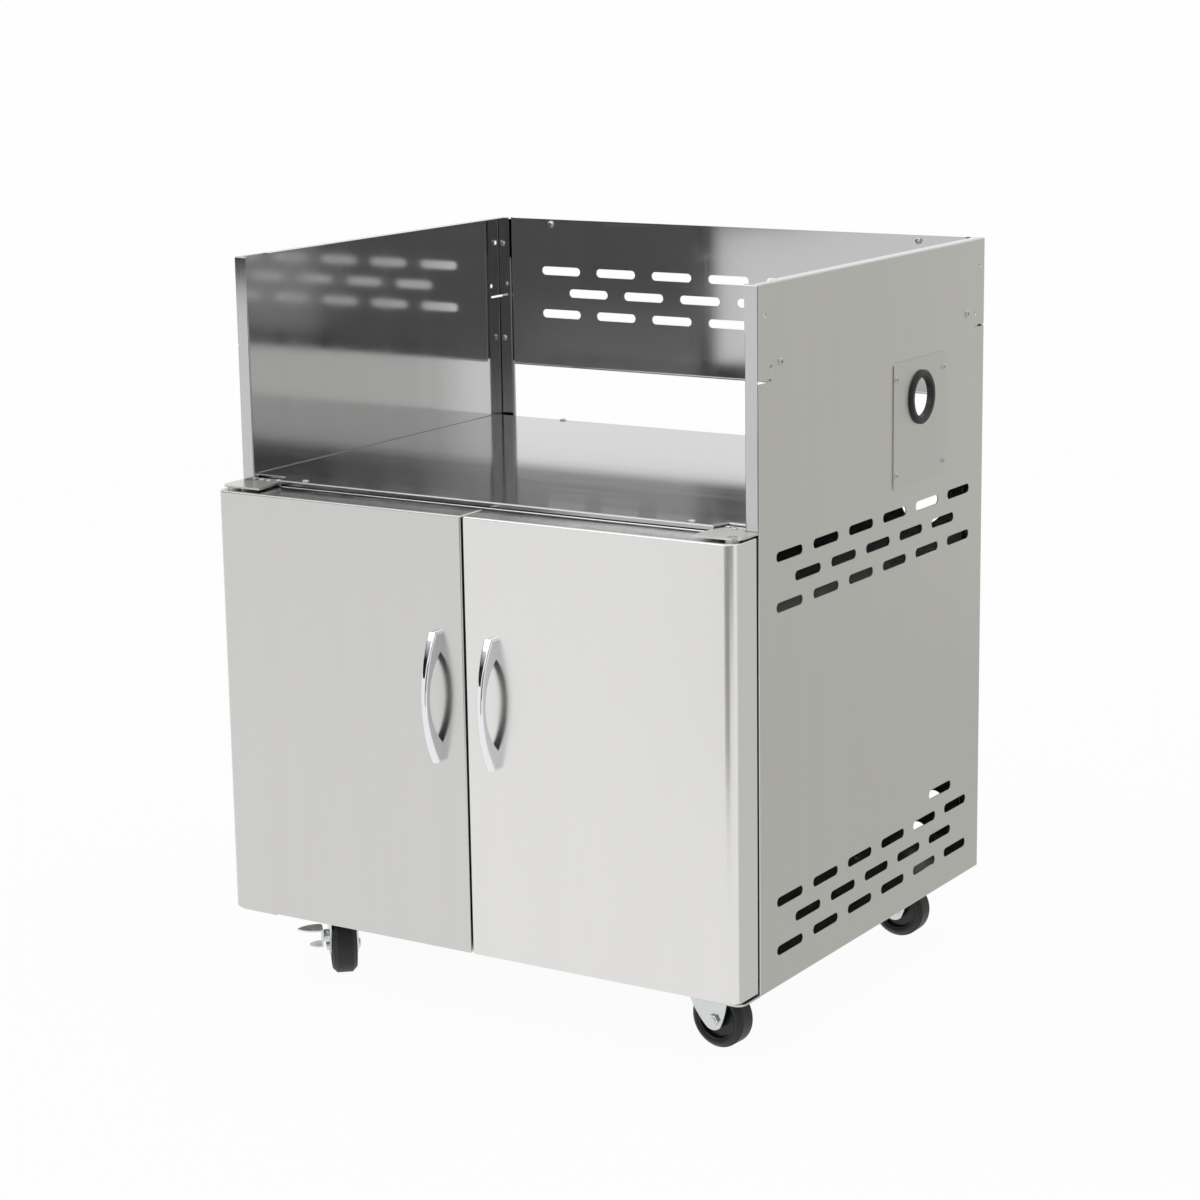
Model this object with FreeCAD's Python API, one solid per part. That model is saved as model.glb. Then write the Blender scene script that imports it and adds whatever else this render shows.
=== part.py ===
import FreeCAD, Part
import math
import os

# Grill cart with storage: a folded sheet-metal cabinet on four swivel casters.
# A low-walled well for a drop-in grill is on top, a cupboard with two doors is below.
# Millimetres. X runs to the right seen from the doors, Y to the back, Z up.
# The origin is on the floor, under the middle of the cart with its handles.

# Cabinet
cabinet_w = 762.0         # over the outer faces of the side panels
cabinet_d = 602.0         # front flanges to rear flanges
panel_h = 853.0           # side panels, bottom edge to top edge
sheet = 1.2               # thickness of the stainless sheet
bend_r = 0.8              # inner radius of a fold
fit = 0.3                 # gap between parts that are slid together
margin = 4.0              # from a fold to where its flange may be trimmed
running = 0.05            # radial gap round a pin, axle or screw

# Side panels
front_flange = 18.5       # width of the flange that faces the front
front_return = 10.0       # its edge, turned back into the cabinet
return_drop = 57.0        # the turned edge stops this far below the top
rear_flange = 18.5
top_flange = 14.5
top_flange_front = 9.0    # narrower part near the front
top_step = 52.0           # the top flange widens this far behind the front
bottom_flange = 15.0
post_w = 20.7             # folded post in each rear corner, from the panel's inner face
post_depth = 5.6          # its front face stands before the rear flanges' sheets by this much
post_screw_in = 7.5       # from the panel's inner face
post_relief = 5.0         # reach of the side shelf's slot into the post

# Holes for a side shelf, the same at the front and the rear of each side panel
shelf_hole_r = 3.0
shelf_hole_in = 15.5      # upper hole, from the panel's edge
shelf_hole_drop = 36.0
shelf_low_in = 28.5       # lower hole
shelf_low_drop = 97.0
shelf_screw_in = 52.0
shelf_screw_drop = 94.0
tab_slot_l = 29.5         # from the panel's edge, open through the fold
tab_slot_h = 3.0
tab_slot_drop = 113.0

# Vent slots
slot_l = 64.0
slot_h = 12.0
slot_pitch = 91.2
slot_rows = 30.5          # height from one row to the next
side_slots_low = 45.0     # lowest row, above the panel's bottom edge
side_slots_drop = 101.8   # lowest row of the upper group, below the deck
back_slots_rise = 75.5    # lowest row, above the upper back panel's lower edge

# Back panels
back_upper_h = 209.5
back_upper_drop = 2.5     # its sides below the top flanges of the side panels
back_lip = 4.0
back_flange = 32.0        # shelf for the deck on top of the lower back panel
stiffener_h = 12.0        # strip behind the upper back panel's top edge
stiffener_screw_in = 92.0
stiffener_screw_drop = 4.5
back_screw_drops = (37.0, 173.0)     # of the upper back panel, below the cabinet's top
back_screw_rises = (120.0, 420.0)    # of the lower one, above the side panels' bottom edge
hose_hole_r = 32.0        # round opening in the lower back panel
hose_hole_x = 297.0
hose_hole_drop = 71.0     # below the deck
vent_hole_r = 15.0
vent_holes = ((318.0, 84.0), (294.0, 36.0))

# Deck and front rails
well_depth = 283.0        # deck below the side panels' top edge
deck_hem = 5.7            # height of the edges folded down round the deck
deck_over = 1.5           # the deck's front edge stands before the flanges
deck_rear_gap = 22.0      # deck's rear edge to the cabinet's back
notch_w = 60.0            # front corners of the deck, cut out round the hinge plates
notch_d = 22.0
notch_slope = 8.5
deck_screw_front = (95.0, 8.0)       # from the panel's outer face, and behind the front flanges
deck_screw_rear = (119.0, 5.0)       # from the panel's outer face, and from the deck's rear edge
rail_angle = 25.0         # legs of the angles under the deck's sides
rail_clear = 2.0          # between those angles and the flanges before and behind them
rail_h = 30.0
rail_top_flange = 30.0
rail_bottom_flange = 14.0
rail_r = 3.0              # inner radius of the top rail's upper front bend
low_rail_h = 37.0
low_rail_flange = 19.5
low_rail_lip = 12.0

# Bottom shelf
shelf_rise = 15.0         # underside above the side panels' bottom edge
shelf_upstand = 39.0      # top of the turned-up rear edge, above the same line

# Doors
door_meeting = 3.0        # gap between the two doors
door_depth = 49.5
door_gap = 6.5            # door's rear edge to the front flanges
door_corner_r = 15.0      # outer vertical corner, round the hinge pin
door_fold_r = 2.2
liner_inset = 3.5         # inner panel, from the door's rear edge
liner_edge = 10.0
hinge_gap = 2.8           # between a door and each hinge plate

# Hinge plates and pins
plate_t = 2.5
plate_setback = 10.5      # from the door's front face
plate_corner_r = 11.5
plate_inner = 63.0        # inner edge of the plate, from the panel's outer face
plate_foot = 0.5          # lower plate, above the side panels' bottom edge
plate_tongue = 19.0       # reach behind the front flanges
plate_slope = 5.0
pin_setback = 20.0        # pin's middle, from the door's front face
pin_r = 4.0
pin_l = 20.0              # length inside the door
pin_head_r = 6.4          # sunk flush into the plate
pin_head_h = 1.0
bush_r = 6.0
bush_flange_r = 8.5
bush_l = 5.0

# Handles
handle_x = 41.3           # from the middle of the cabinet
handle_z = 331.5          # middle of the handle, above the side panels' bottom edge
handle_l = 167.0
handle_out = 31.0
handle_end_out = 8.5      # the blunt ends' front edge before the door
handle_mid_t = 7.5
handle_foot = 26.0
handle_w = 14.0
handle_mid_w = 9.0
handle_round = 3.2
handle_end_round = 1.5
handle_screw_in = 5.5     # screw to the end of the handle
handle_screw_l = 5.0      # shank inside the foot

# Catches
catch_w = 40.0
catch_h = 14.0
catch_drop = 12.0         # below the top rail's upper face
strike_t = 1.0

# Access plate and grommet in the right side panel
access_front = 340.0      # front edge of the plate behind the front flanges
access_w = 146.0
access_drop = 133.0       # upper edge below the side panel's top edge
access_h = 160.0
access_r = 5.0
access_margin = 14.0      # overlap round the cut-out
access_screw_in = 6.6
access_screw_rise = 18.0
access_screw_drop = 20.7
grommet_y = 75.9          # from the plate's front edge
grommet_z = 109.0         # from the plate's lower edge
grommet_r = 34.5
grommet_bore = 25.0
grommet_neck = 29.0
grommet_t = 4.5
grommet_back = 3.0

# Screws: shank radius, head radius, head height
small_screw = (2.0, 4.0, 1.9)
truss_screw = (2.4, 5.0, 2.3)
carriage_screw = (4.0, 8.0, 3.6)
screw_tail = 6.0          # shank behind the last sheet

# Casters
wheel_r = 37.5
wheel_w = 32.0
tread_w = 20.0
tyre_t = 10.5
recess = 6.0
hub_r = 11.0
axle_r = 4.0
trail = 24.0              # kingpin to axle
fork_w = 38.0             # over the fork's legs
fork_t = 2.5
crown_t = 3.0
crown_gap = 8.0           # wheel's top to the fork's crown
race_r = 19.0
race_h = 7.7
cup_r = 22.0
cup_h = 6.0
caster_plate_t = 3.0
caster_plate_l = 92.0
caster_plate_w = 64.0
caster_bolts_l = 72.0
caster_bolts_w = 44.0
kingpin_r = 5.0
kingpin_head_r = 9.0
nut_flats = 13.0
nut_h = 6.5
axle_nut_h = 3.5
caster_side_in = 101.0    # kingpins from the side panels
caster_front_in = 44.0    # kingpins from the front and the rear of the cabinet
caster_rear_in = 75.0
caster_turn = {"front_left": -48.6, "front_right": -4.3, "rear_left": 12.0, "rear_right": 0.0}

# Brake levers on the left pair of casters
brake_t = 2.0
brake_web = 27.0          # lever's upright, from the wheel's middle
brake_pin_out = 23.0
brake_pin_z = 50.0
brake_pin_r = 2.0
brake_pads = ((61.0, 60.0, 14.0), (39.0, 45.0, 12.0))  # height, reach, half width

V = FreeCAD.Vector
X = V(1, 0, 0)
Y = V(0, 1, 0)
Z = V(0, 0, 1)

# Planes that several parts share
half_w = cabinet_w / 2
inner_x = half_w - sheet
front_y = (door_gap + door_depth + handle_out - cabinet_d) / 2
back_y = front_y + cabinet_d
middle_y = (front_y + back_y) / 2
caster_h = 2 * wheel_r + crown_gap + crown_t + race_h + fit + cup_h + caster_plate_t
base_z = caster_h - shelf_rise
top_z = base_z + panel_h
deck_z = top_z - well_depth
rail_z = deck_z - deck_hem - fit
back_face = back_y - 2 * sheet
wall_y = back_face - post_depth
post_x = inner_x - post_w
flange_x = half_w - front_flange
door_y1 = front_y - door_gap
door_y0 = door_y1 - door_depth
plate_low_z = base_z + plate_foot
door_z0 = plate_low_z + plate_t + hinge_gap
door_z1 = rail_z - hinge_gap
pin_x = half_w - door_corner_r
pin_y = door_y0 + pin_setback
shelf_z = base_z + shelf_rise


def box(x0, x1, y0, y1, z0, z1):
    return Part.makeBox(x1 - x0, y1 - y0, z1 - z0, V(x0, y0, z0))


def rod(radius, start, reach):
    """A cylinder from a point along a vector."""
    return Part.makeCylinder(radius, reach.Length, start, reach)


def mirror(shape):
    """The same part for the other side of the cart."""
    return shape.mirror(V(0, 0, 0), X)


def unit(vector):
    return vector * (1.0 / vector.Length)


def rounded_path(points, radii):
    """Edges through the points, each inner point rounded to its radius."""
    edges = []
    start = points[0]
    for before, corner, after, radius in zip(points, points[1:], points[2:], radii):
        to_start = unit(before - corner)
        to_end = unit(after - corner)
        half = to_start.getAngle(to_end) / 2
        reach = radius / math.tan(half)
        middle = corner + unit(to_start + to_end) * (radius / math.sin(half) - radius)
        first = corner + to_start * reach
        last = corner + to_end * reach
        edges.append(Part.makeLine(start, first))
        edges.append(Part.Arc(first, middle, last).toShape())
        start = last
    edges.append(Part.makeLine(start, points[-1]))
    return edges


def bent(points, along, radii=None):
    """Sheet folded along the points and run along a vector, with its thickness on the left.

    Left is as seen with the vector pointing at the eye. The radii are those inside the folds.
    """
    normal = unit(along)
    radii = radii or [bend_r] * (len(points) - 2)
    steps = [unit(b - a) for a, b in zip(points, points[1:])]
    sides = [normal.cross(step) for step in steps]
    shifted = [points[0] + sides[0] * sheet]
    near = []
    far = []
    for corner, a, b, step_a, step_b, radius in zip(points[1:], sides, sides[1:], steps, steps[1:], radii):
        shifted.append(corner + (a + b) * (sheet / (1 + a.dot(b))))
        turns_left = step_a.cross(step_b).dot(normal) > 0
        near.append(radius + sheet if turns_left else radius)
        far.append(radius if turns_left else radius + sheet)
    shifted.append(points[-1] + sides[-1] * sheet)
    edges = rounded_path(points, near) + rounded_path(shifted, far)
    edges.append(Part.makeLine(points[0], shifted[0]))
    edges.append(Part.makeLine(points[-1], shifted[-1]))
    outline = Part.Wire(Part.__sortEdges__(edges))
    return Part.Face(outline).extrude(along)


def prism(points, along):
    return Part.Face(Part.makePolygon(points + [points[0]])).extrude(along)


def middle(edge):
    return edge.valueAt((edge.FirstParameter + edge.LastParameter) / 2)


def near(a, b):
    return abs(a - b) < 1e-4


def round_where(shape, radius, test):
    """Round every edge whose middle point passes the test."""
    return shape.makeFillet(radius, [edge for edge in shape.Edges if test(middle(edge))])


def closed_case(x0, x1, y0, y1, z0, z1):
    """A hollow box one sheet thick with every edge folded round. Cutting its open side off leaves a pan."""
    outer = box(x0, x1, y0, y1, z0, z1)
    hollow = box(x0 + sheet, x1 - sheet, y0 + sheet, y1 - sheet, z0 + sheet, z1 - sheet)
    return outer.makeFillet(bend_r + sheet, outer.Edges).cut(hollow.makeFillet(bend_r, hollow.Edges))


def screw(kind, shank_l, cross=True):
    """A dome-headed screw on Z, with the underside of its head at z = 0."""
    shank_r, head_r, head_h = kind
    rim = head_h * 0.3
    flat = head_r * 0.2
    bulge = V(head_r * 0.68, 0, rim + (head_h - rim) * 0.7)
    edges = [
        Part.makeLine(V(0, 0, -shank_l), V(shank_r, 0, -shank_l)),
        Part.makeLine(V(shank_r, 0, -shank_l), V(shank_r, 0, 0)),
        Part.makeLine(V(shank_r, 0, 0), V(head_r, 0, 0)),
        Part.makeLine(V(head_r, 0, 0), V(head_r, 0, rim)),
        Part.Arc(V(head_r, 0, rim), bulge, V(flat, 0, head_h)).toShape(),
        Part.makeLine(V(flat, 0, head_h), V(0, 0, head_h)),
        Part.makeLine(V(0, 0, head_h), V(0, 0, -shank_l)),
    ]
    body = Part.Face(Part.Wire(edges)).revolve(V(0, 0, 0), Z, 360)
    if not cross:
        return body
    arm = head_r * 0.5
    slit = head_r * 0.11
    recess_z = head_h * 0.35
    first = box(-arm, arm, -slit, slit, recess_z, head_h + 1)
    second = box(-slit, slit, -arm, arm, recess_z, head_h + 1)
    return body.cut(first.fuse(second))


def hex_nut(bore_r, height):
    """A nut on Z, standing on z = 0."""
    corner = nut_flats / math.sqrt(3)
    corners = [V(corner * math.cos(a), corner * math.sin(a), 0) for a in (math.pi / 3 * i for i in range(6))]
    return prism(corners, Z * height).cut(Part.makeCylinder(bore_r, height))


def placed(shape, point, direction):
    """The shape moved to a point, with its Z turned to the direction."""
    copy = shape.copy()
    copy.Placement = FreeCAD.Placement(point, FreeCAD.Rotation(Z, direction))
    return copy


def drill(shape, points, direction, radius, depth=40.0):
    """Round holes along a direction, centred on the points."""
    reach = unit(direction) * depth
    return shape.cut([rod(radius, point - reach * 0.5, reach) for point in points])


def slot(centre, length, height, across, through):
    """A slot with round ends, long along one direction and cut along another."""
    run = unit(across) * (length - height) / 2
    depth = unit(through) * 40.0
    start = centre - depth * 0.5
    ends = [rod(height / 2, start + run, depth), rod(height / 2, start - run, depth)]
    rise = unit(across).cross(unit(through)) * (height / 2)
    corners = [start + run + rise, start - run + rise, start - run - rise, start + run - rise]
    return ends[0].fuse(ends[1]).fuse(prism(corners, depth))


def slot_row(count):
    """Places of the slots in a row, centred on zero."""
    return [(i - (count - 1) / 2) * slot_pitch for i in range(count)]


def save(name, shape):
    """Write one sub-part, after a check that it is sound."""
    shape = shape.removeSplitter() if len(shape.Solids) == 1 else shape
    if not shape.isValid() or not shape.Solids:
        raise ValueError(name + " is not a sound solid")
    shape.exportStep("parts/" + name + ".step")
    print(name, len(shape.Solids), round(shape.Volume, 1))


# Side panels


def shelf_fixings(offset, drop):
    """The same fixing near the front and near the rear edge of the right side panel."""
    z = top_z - drop
    return [V(half_w, front_y + offset, z), V(half_w, back_y - offset, z)]


def shelf_tab_slots():
    """The slots that take the tabs of a side shelf, as cutting blocks. They run out through the folds."""
    z = top_z - tab_slot_drop
    low = z - tab_slot_h / 2
    high = z + tab_slot_h / 2
    x0 = inner_x - bend_r
    front = box(x0, half_w + 1, front_y - 1, front_y + tab_slot_l, low, high)
    rear = box(x0, half_w + 1, back_y - tab_slot_l, back_y + 1, low, high)
    return [front, rear]


def side_vents():
    """Staggered rows of slots low and high on the side panel, as cutting blocks."""
    rows = []
    low_z = base_z + side_slots_low
    for start, counts in ((low_z, (6, 5, 6)), (deck_z - side_slots_drop, (6, 5, 6))):
        for i, count in enumerate(counts):
            rows += [(y, start + i * slot_rows) for y in slot_row(count)]
    rows.append((slot_row(5)[-1], low_z + 3 * slot_rows))
    return [slot(V(half_w, middle_y + y, z), slot_l, slot_h, Y, X) for y, z in rows]


def access_frame():
    """The access plate's front and rear edges, and its lower and upper edges."""
    y0 = front_y + access_front
    z1 = top_z - access_drop
    return y0, y0 + access_w, z1 - access_h, z1


def side_panel(on_right):
    """The right side panel, or the left one before it is mirrored: one sheet with its edges folded in."""
    open_x = flange_x - margin
    behind = front_y + margin
    trims = [
        box(open_x, flange_x, front_y, back_y, base_z, top_z),
        box(open_x, half_w - rear_flange, back_y - margin, back_y, base_z, top_z),
        box(open_x, half_w - top_flange, behind, back_y, top_z - margin, top_z),
        box(open_x, half_w - top_flange_front, behind, front_y + top_step, top_z - margin, top_z),
        box(open_x, half_w - bottom_flange, behind, back_y, base_z, base_z + margin),
    ]
    panel = closed_case(open_x, half_w, front_y, back_y, base_z, top_z).cut(trims)

    # Below its top end, the front flange has its edge turned back.
    z0 = base_z + shelf_upstand
    z1 = top_z - return_drop
    keep_x = flange_x + margin
    panel = panel.cut(box(flange_x, keep_x, front_y, front_y + sheet, z0, z1))
    edge = [V(flange_x, front_y + front_return, z0), V(flange_x, front_y, z0), V(keep_x, front_y, z0)]
    panel = panel.fuse(bent(edge, Z * (z1 - z0)))

    panel = panel.cut(shelf_tab_slots() + side_vents())
    panel = drill(panel, shelf_fixings(shelf_hole_in, shelf_hole_drop), X, shelf_hole_r, 10)
    panel = drill(panel, shelf_fixings(shelf_low_in, shelf_low_drop), X, shelf_hole_r, 10)
    panel = drill(panel, back_flange_points(), Y, small_screw[0] + running)
    if on_right:
        screws = shelf_fixings(shelf_screw_in, shelf_screw_drop)
        panel = drill(panel, screws, X, truss_screw[0] + running, 10)
        y0, y1, z0, z1 = access_frame()
        window = box(
            half_w - 5, half_w + 5,
            y0 + access_margin, y1 - access_margin, z0 + access_margin, z1 - access_margin,
        )
        panel = panel.cut(window)
        panel = drill(panel, access_screw_points(), X, small_screw[0] + running, 10)
    return panel


def rear_upright():
    """The folded post in the right rear corner, with its inner edge turned back on the back panels."""
    z0 = base_z + sheet + bend_r
    z1 = top_z - sheet - bend_r
    line = [
        V(post_x, back_face, z0), V(post_x, wall_y, z0),
        V(inner_x, wall_y, z0), V(inner_x, back_face, z0),
    ]
    post = bent(line, Z * (z1 - z0))
    slot_z = top_z - tab_slot_drop
    relief = tab_slot_h / 2 + fit
    fold = sheet + bend_r
    post = post.cut([
        box(inner_x - post_relief, inner_x, wall_y, back_face, slot_z - relief, slot_z + relief),
        box(post_x, post_x + fold, wall_y, back_face, top_z - return_drop, top_z),
    ])
    return drill(post, back_flange_points(), Y, small_screw[0] + running)


# Back


def back_flange_points():
    """Screws through the right post into the two back panels and the rear flange."""
    x = inner_x - post_screw_in
    heights = [top_z - drop for drop in back_screw_drops] + [base_z + rise for rise in back_screw_rises]
    return [V(x, wall_y, z) for z in heights]


def back_sheet(z0, z1):
    """A sheet whose sides go behind the posts, with its middle pressed forward level with their faces."""
    out = inner_x - bend_r - fit
    step = post_x - 3 * fit
    right = [(step, wall_y), (step, back_face), (out, back_face)]
    line = [V(-x, y, z0) for x, y in reversed(right)] + [V(x, y, z0) for x, y in right]
    return bent(line, Z * (z1 - z0))


def both(points):
    """The points and their mirror images on the other side of the cart."""
    return points + [V(-p.x, p.y, p.z) for p in points]


def back_panel_upper():
    """The rear wall of the well, with a small lip along its lower edge and staggered slots."""
    z1 = top_z
    z0 = z1 - back_upper_h
    x = post_x - 3 * fit - sheet - bend_r
    panel = back_sheet(z0 + margin, z1)
    beside = flange_x - 3 * fit
    panel = panel.cut([
        box(beside, half_w, wall_y - 1, back_y, z1 - back_upper_drop, z1 + 1),
        box(-half_w, -beside, wall_y - 1, back_y, z1 - back_upper_drop, z1 + 1),
    ])
    lip = [
        V(-x, wall_y - back_lip, z0),
        V(-x, wall_y + sheet, z0),
        V(-x, wall_y + sheet, z0 + margin),
    ]
    panel = panel.fuse(bent(lip, X * (2 * x)))
    vents = []
    for row, count in enumerate((7, 6, 7)):
        z = z0 + back_slots_rise + row * slot_rows
        vents += [slot(V(place, wall_y, z), slot_l, slot_h, X, Y) for place in slot_row(count)]
    panel = panel.cut(vents)
    panel = drill(panel, both(back_flange_points()[:2]), Y, small_screw[0] + running)
    return drill(panel, both(stiffener_points()), Y, truss_screw[0] + running)


def back_panel_lower():
    """The cupboard's back, folded forwards at the top to carry the deck's rear edge."""
    x = post_x - 3 * fit - sheet - bend_r
    panel = back_sheet(base_z + sheet + bend_r, rail_z - margin)
    top = [
        V(-x, wall_y + sheet, rail_z - margin),
        V(-x, wall_y + sheet, rail_z),
        V(-x, wall_y + sheet - back_flange, rail_z),
    ]
    panel = panel.fuse(bent(top, X * (2 * x)))
    panel = drill(panel, [V(hose_hole_x, wall_y, deck_z - hose_hole_drop)], Y, hose_hole_r, 20)
    holes = [V(px, wall_y, base_z + pz) for px, pz in vent_holes]
    panel = drill(panel, holes, Y, vent_hole_r, 20)
    panel = drill(panel, both(back_flange_points()[2:]), Y, small_screw[0] + running)
    return drill(panel, both(deck_points()[1:]), Z, truss_screw[0] + running)


def stiffener_points():
    """Right-hand screw of the strip behind the upper back panel."""
    return [V(half_w - stiffener_screw_in, wall_y, top_z - back_upper_drop - stiffener_screw_drop)]


def back_stiffener():
    """A flat strip behind the top edge of the upper back panel."""
    x = post_x - 3 * fit - sheet - bend_r - fit
    z1 = top_z - back_upper_drop
    strip = box(-x, x, wall_y + sheet, wall_y + 2 * sheet, z1 - stiffener_h, z1)
    return drill(strip, both(stiffener_points()), Y, truss_screw[0] + running)


def back_screws():
    """Truss screws of the stiffener and small screws of the uprights."""
    wide = screw(truss_screw, 2 * sheet + screw_tail)
    small = screw(small_screw, post_depth + 2 * sheet + screw_tail)
    solids = [placed(wide, p, V(0, -1, 0)) for p in both(stiffener_points())]
    solids += [placed(small, p, V(0, -1, 0)) for p in both(back_flange_points())]
    return Part.Compound(solids)


# Deck


def deck_outline():
    """Corners of the deck in plan, with the front corners cut out round the hinge plates."""
    side = inner_x - fit
    front = front_y - deck_over
    rear = back_y - deck_rear_gap
    right = [
        (half_w - notch_w, front),
        (half_w - notch_w + notch_slope, front_y + notch_d),
        (side, front_y + notch_d),
        (side, rear),
    ]
    left = [(-x, y) for x, y in reversed(right)]
    return [V(x, y, 0) for x, y in right + left]


def deck_points():
    """Screws of the deck on the right: one at the front, one at the rear."""
    front = V(half_w - deck_screw_front[0], front_y + deck_screw_front[1], deck_z)
    rear = V(half_w - deck_screw_rear[0], back_y - deck_rear_gap - deck_screw_rear[1], deck_z)
    return [front, rear]


def deck_panel():
    """The floor of the well: a sheet with its edges folded down."""
    face = Part.Face(Part.makePolygon(deck_outline() + deck_outline()[:1]))
    outer = face.extrude(Z * deck_hem)
    outer.translate(Z * (deck_z - deck_hem))
    outer = round_where(outer, bend_r + sheet, lambda p: near(p.z, deck_z))
    inner = face.makeOffset2D(-sheet, 2).extrude(Z * deck_hem)
    inner.translate(Z * (deck_z - deck_hem - sheet))
    inner = round_where(inner, bend_r, lambda p: near(p.z, deck_z - sheet))
    return drill(outer.cut(inner), both(deck_points()), Z, truss_screw[0] + running)


def deck_rails():
    """The two angles on the side panels that carry the deck's sides."""
    y0 = front_y + rail_top_flange + rail_clear
    y1 = wall_y + sheet - back_flange - rail_clear
    corner = [
        V(inner_x, y0, rail_z - rail_angle),
        V(inner_x, y0, rail_z),
        V(inner_x - rail_angle, y0, rail_z),
    ]
    corner.reverse()
    right = bent(corner, Y * (y1 - y0))
    return Part.Compound([right, mirror(right)])


def deck_screws():
    shape = screw(truss_screw, deck_hem + fit + sheet + screw_tail)
    return Part.Compound([placed(shape, p, Z) for p in both(deck_points())])


# Front rails


def front_rail_top():
    """The channel above the doors, with a soft bend along its upper front edge."""
    x = flange_x - fit
    line = [
        V(-x, front_y + rail_top_flange, rail_z),
        V(-x, front_y, rail_z),
        V(-x, front_y, rail_z - rail_h),
        V(-x, front_y + rail_bottom_flange, rail_z - rail_h),
    ]
    rail = bent(line, X * (2 * x), [rail_r, bend_r])
    rail = drill(rail, both(deck_points()[:1]), Z, truss_screw[0] + running)
    return drill(rail, both(plate_screw_points(rail_z)), Z, small_screw[0] + running, 14)


def front_rail_bottom():
    """The channel below the doors."""
    x = flange_x - fit
    z0 = plate_low_z + plate_t
    z1 = z0 + low_rail_h
    line = [
        V(-x, front_y + low_rail_lip, z1),
        V(-x, front_y, z1),
        V(-x, front_y, z0),
        V(-x, front_y + low_rail_flange, z0),
    ]
    rail = bent(line, X * (2 * x))
    return drill(rail, both(plate_screw_points(z0)), Z, small_screw[0] + running, 14)


# Bottom shelf


def bottom_shelf():
    """The cupboard's floor, which the casters are bolted to, with its rear edge turned up."""
    side = inner_x - fit
    z0 = base_z + sheet + fit
    z1 = shelf_z + sheet
    y0 = front_y + sheet + fit
    y1 = wall_y - fit
    shelf = closed_case(-side, side, y0, y1 + margin, z0 - margin, z1)
    shelf = shelf.cut([
        box(-side, side, y0, y1 + margin, z0 - margin, z0),
        box(-side, side, y1 - margin, y1 + margin, z0, z1),
    ])
    upstand = [V(-side, y1 - margin, shelf_z), V(-side, y1, shelf_z), V(-side, y1, base_z + shelf_upstand)]
    shelf = shelf.fuse(bent(upstand, X * (2 * side)))
    front_notch = front_y + front_return + 2 * fit
    corner = box(flange_x - 2 * fit, side, y0, front_notch, z0, z1)
    shelf = shelf.cut([corner, mirror(corner)])
    clear = plate_low_z + plate_t + sheet + fit
    shelf = shelf.cut(box(-flange_x, flange_x, y0, front_y + low_rail_flange + fit, z0, clear))
    return drill(shelf, all_caster_bolts(), Z, carriage_screw[0] + running)


# Access plate and grommet


def access_screw_points():
    """The four screws of the access plate, on the plate's outer face."""
    y0, y1, z0, z1 = access_frame()
    ys = (y0 + access_screw_in, y1 - access_screw_in)
    zs = (z0 + access_screw_rise, z1 - access_screw_drop)
    return [V(half_w + sheet, y, z) for y in ys for z in zs]


def grommet_centre():
    y0, _, z0, _ = access_frame()
    return V(half_w, y0 + grommet_y, z0 + grommet_z)


def access_plate():
    """The cover plate outside the right side panel."""
    y0, y1, z0, z1 = access_frame()
    plate = box(half_w, half_w + sheet, y0, y1, z0, z1)
    plate = plate.makeFillet(access_r, [edge for edge in plate.Edges if near(edge.Length, sheet)])
    plate = drill(plate, access_screw_points(), X, small_screw[0] + running, 10)
    return drill(plate, [grommet_centre()], X, grommet_neck, 10)


def grommet():
    """A rubber ring in the access plate that a gas hose or a cable passes through."""
    x0 = half_w - grommet_back
    x1 = half_w + sheet
    x2 = x1 + grommet_t
    centre = grommet_centre()
    half = [
        (x0, grommet_bore), (x0, grommet_neck + 4),
        (half_w, grommet_neck + 4), (half_w, grommet_neck - running),
        (x1, grommet_neck - running), (x1, grommet_r), (x2 - 2, grommet_r), (x2, grommet_r - 3),
        (x2, grommet_bore + 2), (x2 - 2, grommet_bore),
    ]
    profile = [V(x, centre.y + r, centre.z) for x, r in half]
    face = Part.Face(Part.makePolygon(profile + [profile[0]]))
    return face.revolve(centre, X, 360)


def panel_screws():
    """Screws of the side shelf fixings and of the access plate, all on the right side."""
    wide = screw(truss_screw, sheet + screw_tail)
    small = screw(small_screw, 2 * sheet + screw_tail)
    solids = [placed(wide, p, X) for p in shelf_fixings(shelf_screw_in, shelf_screw_drop)]
    solids += [placed(small, p, X) for p in access_screw_points()]
    return Part.Compound(solids)


# Hinges


def plate_screw_points(z):
    """Screws of the right hinge plate in the rail behind it."""
    places = ((48.0, 12.0), (36.0, 6.5), (23.5, 8.5))
    return [V(half_w - x, front_y + y, z) for x, y in places]


def hinge_plate(z, outward):
    """The right hinge plate: it stands out over the door's corner and follows its curve.

    Outward is the direction away from the door, where the pin's flat head is sunk in.
    """
    front = door_y0 + plate_setback
    side = half_w
    inner = half_w - plate_inner
    before_flange = front_y - 5 * fit
    rear = front_y + plate_tongue
    tongue = flange_x - 2 * fit
    corners = [
        V(inner, front, z), V(side, front, z), V(side, before_flange, z), V(tongue, before_flange, z),
        V(tongue, rear, z), V(inner + plate_slope + notch_slope, rear, z),
        V(inner + plate_slope, before_flange, z),
    ]
    plate = prism(corners, Z * plate_t)
    plate = plate.makeFillet(plate_corner_r, [
        edge for edge in plate.Edges
        if near(middle(edge).x, side) and near(middle(edge).y, front)
    ])
    plate = drill(plate, [V(pin_x, pin_y, z)], Z, pin_r + running)
    outer_z = z + plate_t if outward.z > 0 else z
    plate = plate.cut(rod(pin_head_r + running, V(pin_x, pin_y, outer_z), outward * -pin_head_h))
    return drill(plate, plate_screw_points(z), Z, small_screw[0] + running)


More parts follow.
